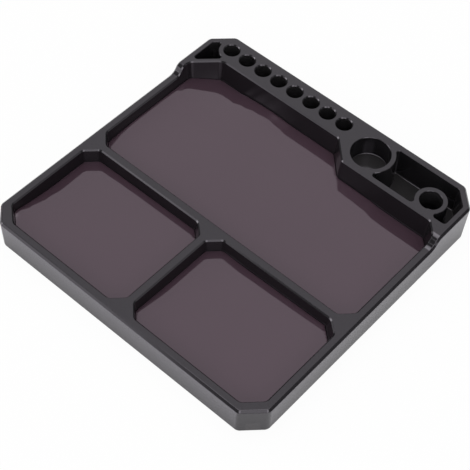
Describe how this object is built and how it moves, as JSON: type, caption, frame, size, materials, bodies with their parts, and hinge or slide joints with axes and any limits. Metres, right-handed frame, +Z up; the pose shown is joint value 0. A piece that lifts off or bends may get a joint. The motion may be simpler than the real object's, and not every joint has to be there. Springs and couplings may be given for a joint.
{
  "type": "parts tray",
  "caption": "Square black silicone tray with chamfered corners, glossy brown floors in its open compartments and a raised rear rail holding drivers, a cup and pockets.",
  "frame": {"origin": "middle of the underside", "axes": "+Z up, +Y towards the rear rail, +X along the rail from the driver holes towards the cup"},
  "size_m": [0.2508, 0.2482, 0.0335],
  "materials": {
    "black_silicone": "satin",
    "brown_sheet": "gloss"
  },
  "bodies": {
    "root": {"tray_body": "black_silicone", "main_floor_sheet": "brown_sheet", "left_floor_sheet": "brown_sheet", "right_floor_sheet": "brown_sheet"}
  },
  "joints": []
}
